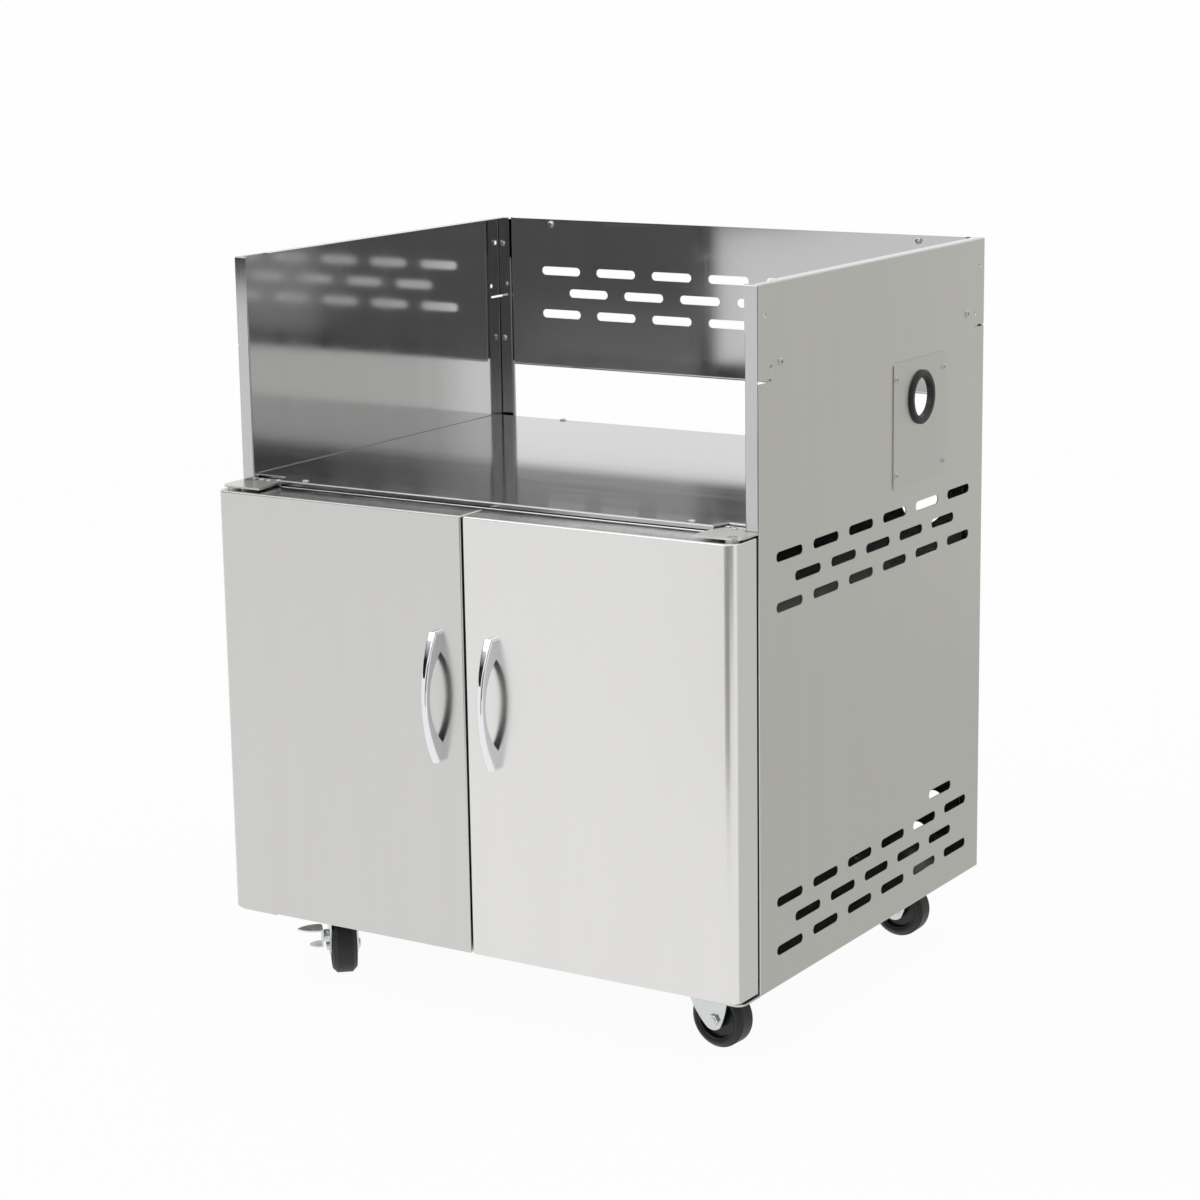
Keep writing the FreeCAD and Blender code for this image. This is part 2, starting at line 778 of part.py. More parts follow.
def hinge_pins():
    """The four pivot pins of the doors, with their flat heads flush in the hinge plates."""
    reach = plate_t + hinge_gap + pin_l
    pin = Part.makeCylinder(pin_r, reach, V(0, 0, -reach))
    pin = pin.fuse(Part.makeCylinder(pin_head_r, pin_head_h, V(0, 0, -pin_head_h)))
    upper = placed(pin, V(pin_x, pin_y, rail_z + plate_t), Z)
    lower = placed(pin, V(pin_x, pin_y, plate_low_z), V(0, 0, -1))
    return Part.Compound([upper, lower, mirror(upper), mirror(lower)])


def hinge_screws():
    """Small screws that hold the four hinge plates on the rails."""
    shape = screw(small_screw, plate_t + sheet + screw_tail)
    upper = [placed(shape, p, Z) for p in both(plate_screw_points(rail_z + plate_t))]
    lower = [placed(shape, p, V(0, 0, -1)) for p in both(plate_screw_points(plate_low_z))]
    return Part.Compound(upper + lower)


# Doors


def door_block(inset, back):
    """The right door's outer form, or the same form made smaller on every closed side."""
    x0 = door_meeting / 2 + inset
    x1 = half_w - inset
    y0 = door_y0 + inset
    z0 = door_z0 + inset
    z1 = door_z1 - inset
    block = box(x0, x1, y0, back, z0, z1)
    block = round_where(block, door_corner_r - inset, lambda p: near(p.x, x1) and near(p.y, y0))
    block = round_where(block, door_fold_r - inset + 0.2, lambda p: near(p.x, x0) and near(p.y, y0))
    ends = lambda p: (near(p.z, z0) or near(p.z, z1)) and p.y < back - 1e-3
    return round_where(block, door_fold_r - inset - 0.2, ends)


def door_shell():
    """The right door's outer sheet, folded back along all four edges."""
    shell = door_block(0, door_y1).cut(door_block(sheet, door_y1 + 1))
    shell = drill(shell, [V(pin_x, pin_y, door_z0), V(pin_x, pin_y, door_z1)], Z, bush_r + running, 6)
    return drill(shell, handle_screw_points(), Y, small_screw[0] + running, 4)


def door_liner():
    """The right door's inner panel, a shallow pan set into the shell."""
    x0 = door_meeting / 2 + sheet + fit
    x1 = inner_x - fit
    z0 = door_z0 + sheet + fit
    z1 = door_z1 - sheet - fit
    y1 = door_y1 - liner_inset
    y0 = y1 - liner_edge
    return closed_case(x0, x1, y0 - margin, y1, z0, z1).cut(box(x0, x1, y0 - margin, y0, z0, z1))


def door_bushes():
    """Nylon bushes in the top and bottom of the right door."""
    sleeve = Part.makeCylinder(bush_r, bush_l, V(0, 0, -bush_l))
    flange = Part.makeCylinder(bush_flange_r, hinge_gap - fit)
    bush = sleeve.fuse(flange).cut(Part.makeCylinder(pin_r + running, 40, V(0, 0, -20)))
    upper = placed(bush, V(pin_x, pin_y, door_z1), Z)
    lower = placed(bush, V(pin_x, pin_y, door_z0), V(0, 0, -1))
    return Part.Compound([upper, lower])


def handle_screw_points():
    """Screws of the right handle, on the inner face of the door's front sheet."""
    reach = handle_l / 2 - handle_screw_in
    z = base_z + handle_z
    return [V(handle_x, door_y0 + sheet, z + reach), V(handle_x, door_y0 + sheet, z - reach)]


def bow(half, end, rise):
    """An arc in the YZ plane, bowed out from the door between two end points."""
    z = base_z + handle_z
    points = [V(0, door_y0 - out, z + up) for out, up in ((end, -half), (rise, 0), (end, half))]
    return Part.Arc(*points).toShape()


def handle():
    """The right door's bow handle: slim in the middle, thicker and wider towards its blunt ends."""
    half = handle_l / 2
    z = base_z + handle_z
    edges = [bow(half, handle_end_out, handle_out), bow(half - handle_foot, 0, handle_out - handle_mid_t)]
    for sign in (-1, 1):
        end = V(0, door_y0, z + sign * half)
        edges.append(Part.makeLine(end - Y * handle_end_out, end))
        edges.append(Part.makeLine(end, end - Z * (sign * handle_foot)))
    side_view = Part.Face(Part.Wire(Part.__sortEdges__(edges)))
    side_view.translate(X * (handle_x - handle_w))
    blank = side_view.extrude(X * (2 * handle_w))
    y = door_y0 - handle_out - 1
    wide = handle_w / 2
    slim = handle_mid_w / 2
    edges = []
    for sign in (-1, 1):
        low = V(handle_x + sign * wide, y, z - half - 1)
        high = V(handle_x + sign * wide, y, z + half + 1)
        edges.append(Part.Arc(low, V(handle_x + sign * slim, y, z), high).toShape())
    for end in (z - half - 1, z + half + 1):
        edges.append(Part.makeLine(V(handle_x - wide, y, end), V(handle_x + wide, y, end)))
    front_view = Part.Face(Part.Wire(Part.__sortEdges__(edges)))
    shape = blank.common(front_view.extrude(Y * (handle_out + 2)))
    shape = shape.makeFillet(handle_round, [edge for edge in shape.Edges if edge.Length > handle_l * 0.8])
    ends = [
        edge for edge in shape.Edges
        if abs(abs(middle(edge).z - z) - half) < 1e-3 and middle(edge).y < door_y0 - 1e-3
    ]
    shape = shape.makeFillet(handle_end_round, ends)
    shape = shape.common(slot(V(handle_x, door_y0 - handle_out / 2, z), handle_l, handle_w, Z, Y))
    depth = Y * -(sheet + handle_screw_l + 1)
    return shape.cut([rod(small_screw[0] + running, point, depth) for point in handle_screw_points()])


def handle_screws():
    shape = screw(small_screw, sheet + handle_screw_l)
    return Part.Compound([placed(shape, p, Y) for p in handle_screw_points()])


def strike():
    """The steel plate on the right door's liner that its magnet pulls."""
    y1 = door_y1 - liner_inset + strike_t
    z1 = rail_z - catch_drop
    x0 = handle_x - catch_w / 2
    return box(x0, x0 + catch_w, y1 - strike_t, y1, z1 - catch_h, z1)


def door_catches():
    """Magnets on the face of the top rail, one for each door."""
    y0 = door_y1 - liner_inset + strike_t + fit
    z1 = rail_z - catch_drop
    x0 = handle_x - catch_w / 2
    magnet = box(x0, x0 + catch_w, y0, front_y, z1 - catch_h, z1)
    magnet = magnet.makeFillet(1.0, [edge for edge in magnet.Edges if near(middle(edge).y, y0)])
    return Part.Compound([magnet, mirror(magnet)])


# Casters, made with the kingpin on Z and the wheel towards +X, then turned and moved


crown_z = 2 * wheel_r + crown_gap
cup_z = crown_z + crown_t + race_h + fit
kingpin_x = half_w - caster_side_in
kingpins = {
    "front_left": V(-kingpin_x, front_y + caster_front_in, 0),
    "front_right": V(kingpin_x, front_y + caster_front_in, 0),
    "rear_left": V(-kingpin_x, back_y - caster_rear_in, 0),
    "rear_right": V(kingpin_x, back_y - caster_rear_in, 0),
}


def caster_bolt_points(place):
    """The four bolts of one caster, on the shelf's upper face."""
    centre = kingpins[place] + Z * (shelf_z + sheet)
    offsets = [(sx * caster_bolts_l / 2, sy * caster_bolts_w / 2) for sx in (-1, 1) for sy in (-1, 1)]
    return [centre + V(x, y, 0) for x, y in offsets]


def all_caster_bolts():
    return [point for place in kingpins for point in caster_bolt_points(place)]


def caster_plate(place):
    """Top plate with the ball cup and the kingpin riveted in."""
    half_l = caster_plate_l / 2
    half_p = caster_plate_w / 2
    z = cup_z + cup_h
    plate = box(-half_l, half_l, -half_p, half_p, z, z + caster_plate_t)
    plate = plate.makeFillet(8.0, [edge for edge in plate.Edges if near(edge.Length, caster_plate_t)])
    cup = Part.makeCone(cup_r - 2, cup_r, cup_h, V(0, 0, cup_z))
    low = crown_z - fit
    pin = Part.makeCylinder(kingpin_r, z - low + 1, V(0, 0, low - 1))
    head = Part.makeCylinder(kingpin_head_r, 3.0, V(0, 0, low - 3))
    head = head.makeFillet(1.2, [edge for edge in head.Edges if near(middle(edge).z, low - 3)])
    shape = plate.fuse([cup, pin, head])
    shape.translate(kingpins[place])
    return drill(shape, caster_bolt_points(place), Z, carriage_screw[0] + running)


def fork_outline():
    """The fork seen from the side: a wide crown that narrows to a round tip at the axle."""
    top = crown_z + crown_t
    shares = (
        (-1.12, 1.08), (-0.853, 0.427), (-0.32, -0.253), (-0.053, -0.36),
        (0.24, -0.227), (0.467, 0.453), (0.533, 1.08),
    )
    points = [V(trail + wheel_r * along, 0, wheel_r * (1 + up)) for along, up in shares]
    left, back_bulge, tip_left, tip, tip_right, front_bulge, right = points
    edges = [
        Part.Arc(left, back_bulge, tip_left).toShape(),
        Part.Arc(tip_left, tip, tip_right).toShape(),
        Part.Arc(tip_right, front_bulge, right).toShape(),
        Part.makeLine(right, V(right.x, 0, top)),
        Part.makeLine(V(right.x, 0, top), V(left.x, 0, top)),
        Part.makeLine(V(left.x, 0, top), left),
    ]
    face = Part.Face(Part.Wire(edges))
    face.translate(V(0, -fork_w, 0))
    return face.extrude(V(0, 2 * fork_w, 0))


def fork(with_brake):
    """The bent fork with its ball race, and on a braked caster the lugs and pin of the lever."""
    top = crown_z + crown_t
    half = fork_w / 2
    reach = 2 * wheel_r
    long = box(trail - reach, trail + reach, -half, half, 0, top)
    long = round_where(long, fork_t + 4, lambda p: near(abs(p.y), half) and near(p.z, top))
    hollow = box(trail - reach, trail + reach, -half + fork_t, half - fork_t, -1, crown_z)
    hollow = round_where(hollow, 4.0, lambda p: near(abs(p.y), half - fork_t) and near(p.z, crown_z))
    shape = long.cut(hollow).common(fork_outline())
    race = Part.makeCone(race_r, race_r - 2, race_h, V(0, 0, top))
    shape = shape.fuse(race).cut(Part.makeCylinder(kingpin_r + running, crown_z, V(0, 0, crown_z / 2)))
    shape = drill(shape, [V(trail, 0, wheel_r)], Y, axle_r + running, 3 * fork_w)
    if with_brake:
        lever_half = brake_pads[1][2]
        parts = []
        for sign in (-1, 1):
            inner = trail + sign * (lever_half + fit)
            outer = trail + sign * (lever_half + fit + fork_t)
            x0, x1 = sorted((inner, outer))
            lug = box(x0, x1, -brake_pin_out, -half, brake_pin_z - 4, brake_pin_z + 4)
            boss = rod(4.0, V(x0, -brake_pin_out, brake_pin_z), X * (x1 - x0))
            parts += [lug, boss]
        reach = lever_half + fit + fork_t + 1
        parts.append(rod(brake_pin_r, V(trail - reach, -brake_pin_out, brake_pin_z), X * (2 * reach)))
        shape = shape.fuse(parts)
    return shape


def wheel_profile(points):
    """Turn half a section, given as width and radius, round the axle."""
    corners = [V(trail, w, wheel_r + r) for w, r in points]
    face = Part.Face(Part.makePolygon(corners + [corners[0]]))
    return face.revolve(V(trail, 0, wheel_r), Y, 360)


def tyre():
    """Solid rubber tyre with a flat tread and sloping shoulders."""
    w = wheel_w / 2
    t = tread_w / 2
    rim = wheel_r - tyre_t
    slope = w - t
    half = [(t, wheel_r), (w, wheel_r - slope), (w, rim + 1.5), (w - 1.5, rim)]
    return wheel_profile(half + [(-a, b) for a, b in reversed(half)])


def wheel_core():
    """Plastic wheel centre with a recess on each side and a long hub."""
    w = fork_w / 2 - fork_t - fit
    rim = wheel_r - tyre_t
    lip = wheel_w / 2 - 1.5
    web = wheel_w / 2 - recess - 2
    half = [
        (lip, rim), (lip - 1, rim - 2), (web, rim - 3.5),
        (web, hub_r + 1), (w, hub_r), (w, axle_r + running),
    ]
    return wheel_profile(half + [(-a, b) for a, b in reversed(half)])


def caster_axle():
    """The wheel's bolt with a domed head, and its nut on the other side."""
    half = fork_w / 2
    tip = axle_nut_h + 1
    bolt = screw((axle_r, 7.5, 4.0), fork_w + tip, cross=False)
    bolt = placed(bolt, V(trail, half, wheel_r), Y)
    nut = placed(hex_nut(axle_r + running, axle_nut_h), V(trail, -half, wheel_r), V(0, -1, 0))
    return Part.Compound([bolt, nut])


def pad_plate(height, reach, half):
    """A flat leaf-shaped foot pad that stands out from the lever and narrows to a point."""
    y0 = -brake_web - brake_t
    y1 = (y0 - 2 * reach) / 3
    base_left, base_right = V(trail - half, y0, 0), V(trail + half, y0, 0)
    tip = V(trail, -reach, 0)
    outline = [
        Part.Arc(base_left, V(trail - half * 0.7, y1, 0), tip).toShape(),
        Part.Arc(tip, V(trail + half * 0.7, y1, 0), base_right).toShape(),
        Part.makeLine(base_right, base_left),
    ]
    pad = Part.Face(Part.Wire(outline)).extrude(Z * brake_t)
    pad.translate(Z * (height - brake_t / 2))
    return pad


def brake_lever():
    """The stamped lever beside the wheel: press the high pad to lock, the low pad to free."""
    half = brake_pads[1][2]
    z0 = brake_pads[1][0] - brake_t / 2
    z1 = brake_pads[0][0] + brake_t / 2
    web = box(trail - half, trail + half, -brake_web - brake_t, -brake_web, z0, z1)
    parts = [pad_plate(*pad) for pad in brake_pads]
    for sign in (-1, 1):
        x0, x1 = sorted((trail + sign * half, trail + sign * (half - brake_t)))
        parts.append(box(x0, x1, -brake_web, -brake_pin_out, brake_pin_z - 4, brake_pin_z + 4))
        parts.append(rod(4.0, V(x0, -brake_pin_out, brake_pin_z), X * brake_t))
    lever = web.fuse(parts)
    pin = rod(brake_pin_r + running, V(trail - 30, -brake_pin_out, brake_pin_z), X * 60)
    return lever.cut(pin)


def at_caster(shape, place):
    """A caster part turned to its rest direction and moved under its kingpin."""
    moved = shape.copy()
    moved.Placement = FreeCAD.Placement(kingpins[place], FreeCAD.Rotation(Z, caster_turn[place]))
    return moved


def caster_fasteners():
    """Sixteen bolts through the shelf and the caster plates, with their nuts."""
    bolt = screw(carriage_screw, sheet + caster_plate_t + nut_h + 0.5, cross=False)
    nut = hex_nut(carriage_screw[0] + running, nut_h)
    solids = []
    for point in all_caster_bolts():
        solids.append(placed(bolt, point, Z))
        solids.append(placed(nut, point - Z * (sheet + caster_plate_t + nut_h), Z))
    return Part.Compound(solids)


os.makedirs("parts", exist_ok=True)

save("side_panel_right", side_panel(True))
save("side_panel_left", mirror(side_panel(False)))
save("rear_upright_right", rear_upright())
save("rear_upright_left", mirror(rear_upright()))
save("back_panel_upper", back_panel_upper())
save("back_panel_lower", back_panel_lower())
save("back_stiffener", back_stiffener())
save("back_screws", back_screws())
save("deck_panel", deck_panel())
save("deck_rails", deck_rails())
save("deck_screws", deck_screws())
save("front_rail_top", front_rail_top())
save("front_rail_bottom", front_rail_bottom())
save("bottom_shelf", bottom_shelf())
save("access_plate", access_plate())
save("grommet", grommet())
save("panel_screws", panel_screws())
save("hinge_plate_top_right", hinge_plate(rail_z, Z))
save("hinge_plate_top_left", mirror(hinge_plate(rail_z, Z)))
save("hinge_plate_bottom_right", hinge_plate(plate_low_z, -Z))
save("hinge_plate_bottom_left", mirror(hinge_plate(plate_low_z, -Z)))
save("hinge_pins", hinge_pins())
save("hinge_screws", hinge_screws())
save("door_catches", door_catches())

for part_name, part in (
    ("door_shell", door_shell()), ("door_liner", door_liner()), ("door_bushes", door_bushes()),
    ("door_handle", handle()), ("handle_screws", handle_screws()), ("door_strike", strike()),
):
    save(part_name + "_right", part)
    save(part_name + "_left", mirror(part))

for place in kingpins:
    braked = place.endswith("left")
    save("caster_plate_" + place, caster_plate(place))
    save("caster_fork_" + place, at_caster(fork(braked), place))
    save("caster_tyre_" + place, at_caster(tyre(), place))
    save("caster_wheel_" + place, at_caster(wheel_core(), place))
    save("caster_axle_" + place, at_caster(caster_axle(), place))
    if braked:
        save("brake_lever_" + place, at_caster(brake_lever(), place))
save("caster_fasteners", caster_fasteners())
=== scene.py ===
"""Looks of the grill cart: folded stainless sheet, chromed bow handles, black tyres on zinc-plated forks."""
import math

import bpy
from mathutils import Matrix, Vector


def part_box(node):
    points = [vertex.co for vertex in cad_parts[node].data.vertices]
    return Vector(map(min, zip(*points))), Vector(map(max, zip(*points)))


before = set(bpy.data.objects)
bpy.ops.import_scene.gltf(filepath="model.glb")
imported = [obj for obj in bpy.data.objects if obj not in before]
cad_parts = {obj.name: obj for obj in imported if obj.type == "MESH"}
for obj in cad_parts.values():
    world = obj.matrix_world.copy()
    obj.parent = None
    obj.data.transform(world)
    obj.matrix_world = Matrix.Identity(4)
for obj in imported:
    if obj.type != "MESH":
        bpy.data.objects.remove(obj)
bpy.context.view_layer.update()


# Side panels and the cover plate on the right one. Each is a stainless sheet with folded edges,
# punched with vents. Its outside was ground with a belt, so fine upright lines blur what it shows.
# Its inside kept the bright mill finish and mirrors the well.

def linear(code):
    """A colour written as sRGB hex, as Blender's linear RGBA."""
    parts = [int(code[i:i + 2], 16) / 255 for i in (0, 2, 4)]
    return tuple(c / 12.92 if c <= 0.04045 else ((c + 0.055) / 1.055) ** 2.4 for c in parts) + (1.0,)


def add(tree, kind, inputs=None, **settings):
    """A shader node with its settings. An input is a number, a colour or another node's output."""
    made = tree.nodes.new("ShaderNode" + kind)
    for name, value in settings.items():
        setattr(made, name, value)
    for name, value in (inputs or {}).items():
        if isinstance(value, bpy.types.NodeSocket):
            tree.links.new(value, made.inputs[name])
        else:
            made.inputs[name].default_value = value
    return made


def finish(name):
    """A named material with an empty node tree and an output for its shader."""
    made = bpy.data.materials.new(name)
    made.use_nodes = True
    tree = made.node_tree
    tree.nodes.clear()
    return made, tree, tree.nodes.new("ShaderNodeOutputMaterial").inputs["Surface"]


def streaks(tree, width, length, along, seed):
    """Noise drawn out along one axis, as wide and as long as given in millimetres."""
    scale = [1000 / (length if axis == along else width) for axis in "XYZ"]
    where = add(tree, "TexCoord")
    placed = add(tree, "Mapping", {"Vector": where.outputs["Object"], "Location": (seed, seed, seed),
                                   "Scale": scale})
    return add(tree, "TexNoise", {"Vector": placed.outputs[0], "Scale": 1.0, "Detail": 2.0}).outputs["Fac"]


def blend(tree, share, low, high):
    """A colour between two, or a number between two."""
    if isinstance(low, str):
        mixed = add(tree, "Mix", {0: share, 6: linear(low), 7: linear(high)}, data_type="RGBA")
        return mixed.outputs[2]
    return add(tree, "MapRange", {"Value": share, "From Min": 0.3, "From Max": 0.7,
                                  "To Min": low, "To Max": high}).outputs[0]


line_width, line_length = 1.0, 130
band_width, band_length = 35, 600
band_share = 0.55
line_step = 0.0002


def grinding(tree, along, seed):
    """The marks of a grinding belt: the fine lines alone, and mixed with the wider bands of each pass.

    Real lines are a tenth of a millimetre wide. They are drawn 1 mm wide so that the render shows them.
    """
    lines = streaks(tree, line_width, line_length, along, seed)
    bands = streaks(tree, band_width, band_length, along, seed + 5)
    return lines, add(tree, "Mix", {0: band_share, 2: lines, 3: bands}, data_type="FLOAT").outputs[0]


def steel_sheet(name, tones, gloss, along="Z", line_depth=0.02, stretch=0.4, seed=0):
    """Stainless sheet: a metal whose tone and gloss differ from grinding line to grinding line."""
    made, tree, out = finish(name)
    lines, share = grinding(tree, along, seed)
    bump = add(tree, "Bump", {"Height": lines, "Strength": line_depth, "Distance": line_step})
    turn = add(tree, "Tangent", direction_type="RADIAL", axis="Z" if along == "Z" else "X")
    shader = add(tree, "BsdfPrincipled", {
        "Base Color": blend(tree, share, *tones), "Metallic": 1.0, "Roughness": blend(tree, share, *gloss),
        "Anisotropic": stretch, "Normal": bump.outputs[0], "Tangent": turn.outputs[0]})
    tree.links.new(shader.outputs[0], out)
    return made


def wear(made, *names):
    """Give frame nodes a finish in their objects' own material slots."""
    for name in names:
        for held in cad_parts[name].material_slots:
            held.link = "OBJECT"
            held.material = made


outer_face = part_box("side_panel_right")[1].x
sheet = 0.0012
ground_tones = ("C8C7C3", "D2D1CD")
ground_gloss = (0.30, 0.38)
mill_tones = ("BDBDBD", "C6C6C6")
mill_gloss = (0.08, 0.12)

panel_steel, tree, out = finish("stainless_ground_outside_bright_inside")
lines, share = grinding(tree, "Z", 3)
place = add(tree, "SeparateXYZ", {0: add(tree, "TexCoord").outputs["Object"]})
width = add(tree, "Math", {0: place.outputs["X"]}, operation="ABSOLUTE")
outside = add(tree, "MapRange", {"Value": width.outputs[0], "From Min": outer_face - 0.7 * sheet,
                                 "From Max": outer_face - 0.3 * sheet}).outputs[0]
tone = add(tree, "Mix", {0: outside, 6: blend(tree, share, *mill_tones), 7: blend(tree, share, *ground_tones)},
           data_type="RGBA").outputs[2]
gloss = add(tree, "Mix", {0: outside, 2: blend(tree, share, *mill_gloss), 3: blend(tree, share, *ground_gloss)},
            data_type="FLOAT").outputs[0]
ground_depth = 0.02
line_depth = add(tree, "Math", {0: outside, 1: ground_depth}, operation="MULTIPLY").outputs[0]
bump = add(tree, "Bump", {"Height": lines, "Strength": line_depth, "Distance": line_step})
shader = add(tree, "BsdfPrincipled", {"Base Color": tone, "Metallic": 1.0, "Roughness": gloss,
                                      "Normal": bump.outputs[0]})
tree.links.new(shader.outputs[0], out)
wear(panel_steel, "side_panel_right", "side_panel_left")

wear(steel_sheet("stainless_cover_ground", ("C6C5C1", "D0CFCB"), (0.28, 0.36), seed=21), "access_plate")


# Back panels, the posts beside them, and the strip behind the upper one. They are bent from bright
# stainless sheet and screwed between the side panels' rear flanges. They mirror the well, dimly
# where the mirror image is itself a mirror image. The posts have a darker tone than the panels:
# painted shade in the well's rear corners.

back_steel = steel_sheet("stainless_bright_upright", mill_tones, mill_gloss, line_depth=0.01, seed=11)
wear(back_steel, "back_panel_upper", "back_panel_lower", "back_stiffener")
# painted shade: the posts get darker tones than the back panels of the same sheet
post_steel_painted_shade = steel_sheet("stainless_bright_post", ("9C9C9D", "A8A8AA"), mill_gloss, line_depth=0.01, seed=16)
wear(post_steel_painted_shade, "rear_upright_right", "rear_upright_left")


# Deck, the angles that carry it, the two front rails and the cupboard's floor. All are folded sheet,
# laid with its grinding lines across the cart. The deck mirrors the back panel clearly, the rails
# more darkly, and the cupboard's floor is dull and shows no image.

deck_steel = steel_sheet("stainless_bright_level", ("B4B4B6", "BCBCBF"), (0.08, 0.13), along="X",
                         line_depth=0.01, seed=31)
wear(deck_steel, "deck_panel", "deck_rails")
rail_steel = steel_sheet("stainless_bright_rail", ("ACACAB", "B8B8B7"), (0.12, 0.20), along="X", seed=33)
wear(rail_steel, "front_rail_top", "front_rail_bottom")
shelf_steel = steel_sheet("stainless_shelf_dull", ("A9A9A7", "B5B5B3"), (0.38, 0.48), along="X", seed=36)
wear(shelf_steel, "bottom_shelf")


# Hinge plates. They are cut from thicker stainless bar, tumbled so that their edges are soft, and
# screwed down at the front corners. Tumbling leaves an even satin, duller than the doors.

plate_steel = steel_sheet("stainless_plate_tumbled", ("CFCFCC", "D6D6D3"), (0.30, 0.34), along="X",
                          line_depth=0.0, seed=41)
for height in ("top", "bottom"):
    wear(plate_steel, "hinge_plate_" + height + "_right", "hinge_plate_" + height + "_left")


# Doors. Each is a pan of ground stainless sheet with a second pan set in its back. The grinding
# lines run upright and blur what the sheet mirrors. The left one has a darker tone than the right one:
# painted shade.

# painted shade: the left door's tones are darker than the right door's, for the same steel
door_tones_left_shaded = {"right": ("DEDDDB", "E6E5E3"), "left": ("CBCAC8", "D4D3D1")}
for side, tones in door_tones_left_shaded.items():
    made = steel_sheet("stainless_door_" + side, tones, (0.19, 0.25), stretch=0.3, seed=51 + len(side))
    wear(made, "door_shell_" + side, "door_liner_" + side)


# Handles. They are die-cast zinc, polished and chromed: a clear mirror whose waves are left over
# from polishing. The back, turned to the door, is painted dark and dull: painted shade between handle
# and door. Two screws hold each one.

chrome, tree, out = finish("chrome_on_die_cast_zinc")
polish_waves = streaks(tree, 6, 18, "Z", 61)
bump = add(tree, "Bump", {"Height": polish_waves, "Strength": 0.04, "Distance": 0.0005})
facing = add(tree, "SeparateXYZ", {0: add(tree, "TexCoord").outputs["Normal"]})
# painted shade: faces turned to the door get a dark tone and a duller gloss
painted_shade_back = add(tree, "MapRange", {"Value": facing.outputs["Y"], "From Min": 0.45, "From Max": 0.75}).outputs[0]
chrome_tone = blend(tree, polish_waves, "E4E6E8", "ECEEF0")
painted_shade_tone = blend(tree, polish_waves, "3C3D3E", "4A4B4C")
chrome_gloss = blend(tree, polish_waves, 0.03, 0.06)
shader = add(tree, "BsdfPrincipled", {
    "Base Color": add(tree, "Mix", {0: painted_shade_back, 6: chrome_tone, 7: painted_shade_tone}, data_type="RGBA").outputs[2],
    "Roughness": add(tree, "Mix", {0: painted_shade_back, 2: chrome_gloss, 3: 0.45}, data_type="FLOAT").outputs[0],
    "Metallic": 1.0, "Normal": bump.outputs[0]})
tree.links.new(shader.outputs[0], out)
wear(chrome, "door_handle_right", "door_handle_left")


# Screws and hinge pins. They are cold-formed stainless with turned heads, bright but marked by the
# driver, so their gloss is uneven.

grain_step = 0.0003


def mottled(name, tones, gloss, metallic, spot, grain_depth=0.0, seed=0):
    """A finish whose tone and gloss differ from spot to spot, with a grain of the same size."""
    made, tree, out = finish(name)
    spots = streaks(tree, spot, spot, "Z", seed)
    inputs = {"Base Color": blend(tree, spots, *tones), "Metallic": metallic,
              "Roughness": blend(tree, spots, *gloss)}
    if grain_depth:
        grain = add(tree, "Bump", {"Height": spots, "Strength": grain_depth, "Distance": grain_step})
        inputs["Normal"] = grain.outputs[0]
    shader = add(tree, "BsdfPrincipled", inputs)
    tree.links.new(shader.outputs[0], out)
    return made


screw_steel = mottled("stainless_cold_formed", ("B9B9B8", "D2D2D0"), (0.15, 0.30), 1.0, 1.2, seed=71)
wear(screw_steel, "back_screws", "deck_screws", "panel_screws", "hinge_screws", "hinge_pins",
     "handle_screws_right", "handle_screws_left")


# Bushes and catches. The bushes are turned from natural nylon, pressed into the doors. The catches
# are magnets in black ABS cases, with a zinc-plated strike on each door.

wear(mottled("nylon_natural", ("CFCCC0", "DEDBD0"), (0.35, 0.5), 0.0, 3, seed=81),
     "door_bushes_right", "door_bushes_left")
wear(mottled("abs_black_moulded", ("121212", "1C1C1C"), (0.35, 0.5), 0.0, 0.8, 0.1, seed=82), "door_catches")
strike_zinc = steel_sheet("zinc_plated_strip", ("B9BEC1", "C4C8CA"), (0.24, 0.30), along="X",
                          line_depth=0.0, seed=83)
wear(strike_zinc, "door_strike_right", "door_strike_left")


# Grommet. It is moulded from black EPDM rubber and pressed into the cover plate. Its matt skin
# shows the sheen of a moulding.

wear(mottled("epdm_black_moulded", ("0E0E0E", "191918"), (0.38, 0.55), 0.0, 1.5, 0.08, seed=91), "grommet")


# Casters. Plates, forks, axles, fasteners and brake levers are pressed steel with bright zinc
# plating, which has a faint blue and yellow cast. The tyres are solid black rubber with a matt
# skin on black polypropylene centres.

zinc = mottled("zinc_plate_bright", ("C9CFD3", "DADCD8"), (0.16, 0.28), 1.0, 5, seed=101)
tyre_rubber = mottled("tyre_rubber_moulded", ("131313", "1F1F1F"), (0.45, 0.62), 0.0, 1.2, 0.15, seed=102)
centre_plastic = mottled("polypropylene_black", ("121212", "1B1B1B"), (0.3, 0.42), 0.0, 1.0, 0.05, seed=103)
wear(zinc, "caster_fasteners", "brake_lever_front_left", "brake_lever_rear_left")
for corner in ("front_left", "front_right", "rear_left", "rear_right"):
    wear(zinc, "caster_plate_" + corner, "caster_fork_" + corner, "caster_axle_" + corner)
    wear(tyre_rubber, "caster_tyre_" + corner)
    wear(centre_plastic, "caster_wheel_" + corner)


# Studio floor: a round sheet of white paper, plain white to the camera and in mirrors, with a trace
# of the cart's shadow left on it.

